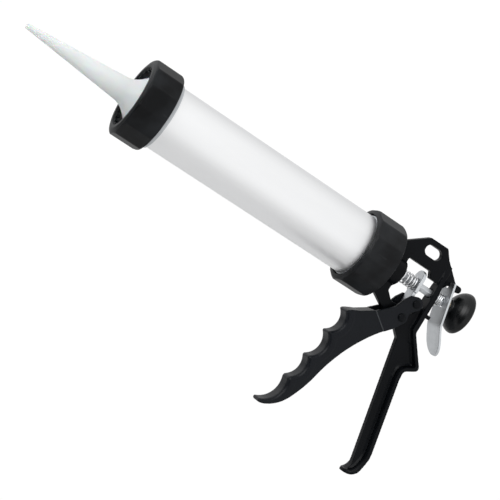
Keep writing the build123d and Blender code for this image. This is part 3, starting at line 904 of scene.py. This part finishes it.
# Rod and piston.
rodLook = {"flat": 3.2, "stud": 3.0, "studEdge": 0.5, "cornerEdge": 0.05, "hexSoftness": 0.0002,
           "nutFlat": 5.0, "nutEdge": (0.5, 0.9), "gap": 0.05, "washerEdge": 0.3,
           "groove": 4.0, "grooveWidth": 3.2, "grooveDepth": 2.2, "skirt": 5.2, "floor": 5.0, "boss": 9.0,
           "pistonEdge": 0.25, "ringDepth": 2.4, "ringEdge": 0.9}


def sixSided(turned, flat):
    return evaluated(turned, trees=[(facetTree, {
        "Sides": 6.0, "Flat Radius": flat * mm, "Turn": 0.0, "Softness": rodLook["hexSoftness"],
        "Material": zinc})])


def makeRod():
    look = rodLook
    rodLow, rodHigh = span("push_rod")
    _, washerHigh = span("piston_rear_washer")
    knobLow, _ = span("pull_knob")
    stud, edge = look["stud"], look["studEdge"]
    corner = look["flat"] / cos(pi / 6) - look["cornerEdge"]
    x0, x1 = washerHigh.x, knobLow.x
    outline = [(rodLow.x, 0), (rodLow.x, stud - edge), (rodLow.x + edge, stud), (x0, stud), (x0, corner),
               (x1, corner), (x1, stud), (rodHigh.x - edge, stud), (rodHigh.x, stud - edge), (rodHigh.x, 0)]
    bar = sixSided(lathe(outline, 72, 0, "X", (0, 0), False), look["flat"])
    pieceFrom("push_rod_bar", bar, zinc, "rod", "zinc_steel", "push_rod")
    low, high = span("piston_nut")
    bore = stud + look["gap"]
    nutCorner = look["nutFlat"] / cos(pi / 6)
    nutIn, nutFall = look["nutEdge"]
    crest = nutCorner - look["cornerEdge"]
    nut = [(low.x, bore), (low.x, nutCorner - nutFall), (low.x + nutIn, crest), (high.x, crest),
           (high.x, bore)]
    nut = sixSided(lathe(nut, 72), look["nutFlat"])
    pieceFrom("piston_hex_nut", nut, zinc, "rod", "zinc_steel", "piston_nut")
    for node in ("piston_front_washer", "piston_rear_washer"):
        disc = lathe(ringOutline(node, bore, look["washerEdge"], 3), 96)
        pieceFrom(node + "_disc", disc, zinc, "rod", "zinc_steel", node)
    low, high = span("piston")
    radius = high.z
    root = radius - look["grooveDepth"]
    g0 = low.x + look["groove"]
    g1 = g0 + look["grooveWidth"]
    skirt = radius - look["skirt"]
    floor = low.x + look["floor"]
    body = [(low.x, bore), (low.x, radius), (g0, radius), (g0, root), (g1, root), (g1, radius),
            (high.x, radius), (high.x, skirt), (floor, skirt), (floor, look["boss"]),
            (high.x, look["boss"]), (high.x, bore)]
    body = lathe(rounded(body, look["pistonEdge"], 2), 128)
    pieceFrom("piston_body", body, whitePlastic, "rod", "piston_plastic", "piston")
    _, high = span("piston_ring")
    ring = ringOutline("piston_ring", high.z - look["ringDepth"], look["ringEdge"], 4)
    pieceFrom("piston_seal", lathe(ring, 128), rubber, "rod", "seal_rubber", "piston_ring")


makeRod()
print("rod made")


# Knob: its rim points are distances back from the dome's foot and in from the rim's radius.
knobLook = {"neck": 6.4, "rim": 18.65, "dome": 2.0, "insert": 4.6, "socket": 0.1,
            "flare": [(1.2, 6.5), (2.2, 7.2), (3.2, 9.2), (4.4, 11.4), (6.4, 14.2), (8.6, 16.4),
                      (10.8, 17.8)],
            "rimPoints": [(3.4, 0.15), (2.2, 0.0), (1.2, 0.15), (0.3, 0.9), (-0.1, 2.0)],
            "domeRadii": (14.5, 11, 7.5, 4), "neckEdges": [0.3, 0.8], "bend": 2.0, "socketEdge": 0.2,
            "brassBore": 3.05, "brassEdge": 0.2}


def makeKnob():
    look = knobLook
    low, high = span("pull_knob")
    x0, x1 = low.x, high.x
    back = x1 - look["dome"]
    face = [(x0, look["insert"]), (x0, look["neck"])] + [(x0 + x, r) for x, r in look["flare"]]
    face += [(back - along, look["rim"] - fall) for along, fall in look["rimPoints"]]
    face += [(x1 - look["dome"] * (r / look["rim"]) ** 2, r) for r in look["domeRadii"]] + [(x1, 0)]
    _, insertHigh = span("knob_insert")
    socket = insertHigh.x + look["socket"]
    face += [(socket, 0), (socket, look["insert"])]
    radii = look["neckEdges"] + [look["bend"]] * (len(face) - 5) + [0, 0, look["socketEdge"]]
    body = lathe(rounded(face, radii, 4), 128)
    pieceFrom("pull_knob_mushroom", body, glossPlastic, "rod", "knob_plastic", "pull_knob")
    sleeve = ringOutline("knob_insert", look["brassBore"], look["brassEdge"], 3)
    pieceFrom("knob_brass_insert", lathe(sleeve, 64), brass, "rod", "brass_insert", "knob_insert")


makeKnob()
print("knob made")


# Stage: floor, light and camera.
stageLook = {"floorDrop": 420, "floorSize": (2.6, 2.2), "floorPlace": (0.2, 0.76),
             "floorTone": (0.66, 0.66, 0.66, 1),
             "camera": (-0.1071, -0.9773, -0.1011), "lens": 95.04, "white": 1.02,
             "barrelSeen": (0.794, 0.509, 0.3325), "pitch": 3,
             "keyPlace": (-0.8, -0.5, 0.33), "keyFrom": 0.9, "keyBrightness": 4.6,
             "nozzleSide": {"from": -0.22, "deep": 0.25, "low": 0.06, "high": 1.2,
                            "rise": 2.2, "level": 0.45}}
# Brightness of the room round the barrel's axis: degrees above the camera's side, brightness.
roomLight = [(-180, 0.68), (-125, 0.62), (-69, 0.66), (-45, 0.92), (-28, 1.1), (-8, 1.13), (8, 1.03),
             (75, 1.02), (95, 0.92), (125, 0.78), (180, 0.68)]
roomPeak = 1.2


def makeFloor():
    low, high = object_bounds()
    wide, deep = stageLook["floorSize"]
    x, y = stageLook["floorPlace"]
    bpy.ops.mesh.primitive_plane_add(size=1, location=(x, y, low.z - stageLook["floorDrop"] * mm))
    floor = bpy.context.object
    floor.scale = (wide, deep, 1)
    floor.name = "paleFloor"
    material = bpy.data.materials.new("paleFloor")
    material.use_nodes = True
    material.node_tree.nodes.clear()
    bench = Bench(material.node_tree)
    seen = bench.node("ShaderNodeLightPath")["Is Camera Ray"]
    paleCoat = bench.node("ShaderNodeBsdfDiffuse", {}, {"Color": stageLook["floorTone"]})["BSDF"]
    glow = bench.node("ShaderNodeEmission", {}, {
        "Color": (1, 1, 1, 1), "Strength": stageLook["white"]})["Emission"]
    mixed = bench.node("ShaderNodeMixShader", {}, {0: seen, 1: paleCoat, 2: glow})["Shader"]
    bench.node("ShaderNodeOutputMaterial", {}, {"Surface": mixed})
    floor.data.materials.append(material)


def makeLight():
    # a soft white room, plain white behind the gun, with one brighter patch beside the nozzle
    world = bpy.data.worlds.new("studio")
    bpy.context.scene.world = world
    world.use_nodes = True
    tree = world.node_tree
    tree.nodes.clear()
    bench = Bench(tree)
    seen = bench.node("ShaderNodeLightPath")["Is Camera Ray"]
    towards = bench.node("ShaderNodeTexCoord")["Generated"]
    parts = bench.split(towards)
    turn = parts["Z"].maths("ARCTAN2", parts["Y"] * -1) / (2 * pi) + 0.5
    stops = [((degrees + 180) / 360, (level / roomPeak,) * 3) for degrees, level in roomLight]
    room = bench.node("ShaderNodeValToRGB", {"stops": stops}, {"Fac": turn})["Color"] * roomPeak
    keyPlace = Vector(stageLook["keyPlace"]).normalized()
    facing = bench.node("ShaderNodeVectorMath", {"operation": "DOT_PRODUCT"}, {
        0: towards, 1: keyPlace})["Value"]
    side = stageLook["nozzleSide"]
    beside = ((side["from"] - parts["X"]) / side["deep"]).clamped()
    raised = (parts["Z"] * side["rise"] + side["level"]).clamped()
    shade = side["low"] + raised * (side["high"] - side["low"])
    room = room + beside * (shade - room)
    key = ((facing - stageLook["keyFrom"]) / (1 - stageLook["keyFrom"])).clamped()
    shine = room + key * stageLook["keyBrightness"]
    strength = shine + seen * (stageLook["white"] - shine)
    shone = bench.node("ShaderNodeBackground", {}, {
        "Color": (1, 1, 1, 1), "Strength": strength})["Background"]
    bench.node("ShaderNodeOutputWorld", {}, {"Surface": shone})
    bpy.context.scene.view_settings.view_transform = "Standard"


def makeCamera():
    # the barrel's axis as the camera sees it: right, down, away
    along = Vector(stageLook["barrelSeen"]).normalized()
    up = Vector((0, 0, 1)).cross(along).normalized()
    if up.y > 0:
        up = -up
    away = -along.cross(up)
    pitch = radians(stageLook["pitch"])
    upAxis = up * cos(pitch) + away * sin(pitch)
    sideAxis = away * cos(pitch) - up * sin(pitch)
    axes = (along, sideAxis, upAxis)
    right, down, ahead = (Vector([axis[k] for axis in axes]) for k in range(3))
    lens = bpy.data.cameras.new("camera")
    lens.lens, lens.sensor_width = stageLook["lens"], 36
    lens.clip_start, lens.clip_end = 0.05, 50
    camera = bpy.data.objects.new("camera", lens)
    bpy.context.scene.collection.objects.link(camera)
    turn = Matrix((right, -down, -ahead)).transposed()
    camera.matrix_world = Matrix.Translation(stageLook["camera"]) @ turn.to_4x4()
    bpy.context.scene.camera = camera


makeFloor()
makeLight()
makeCamera()
print("stage made")
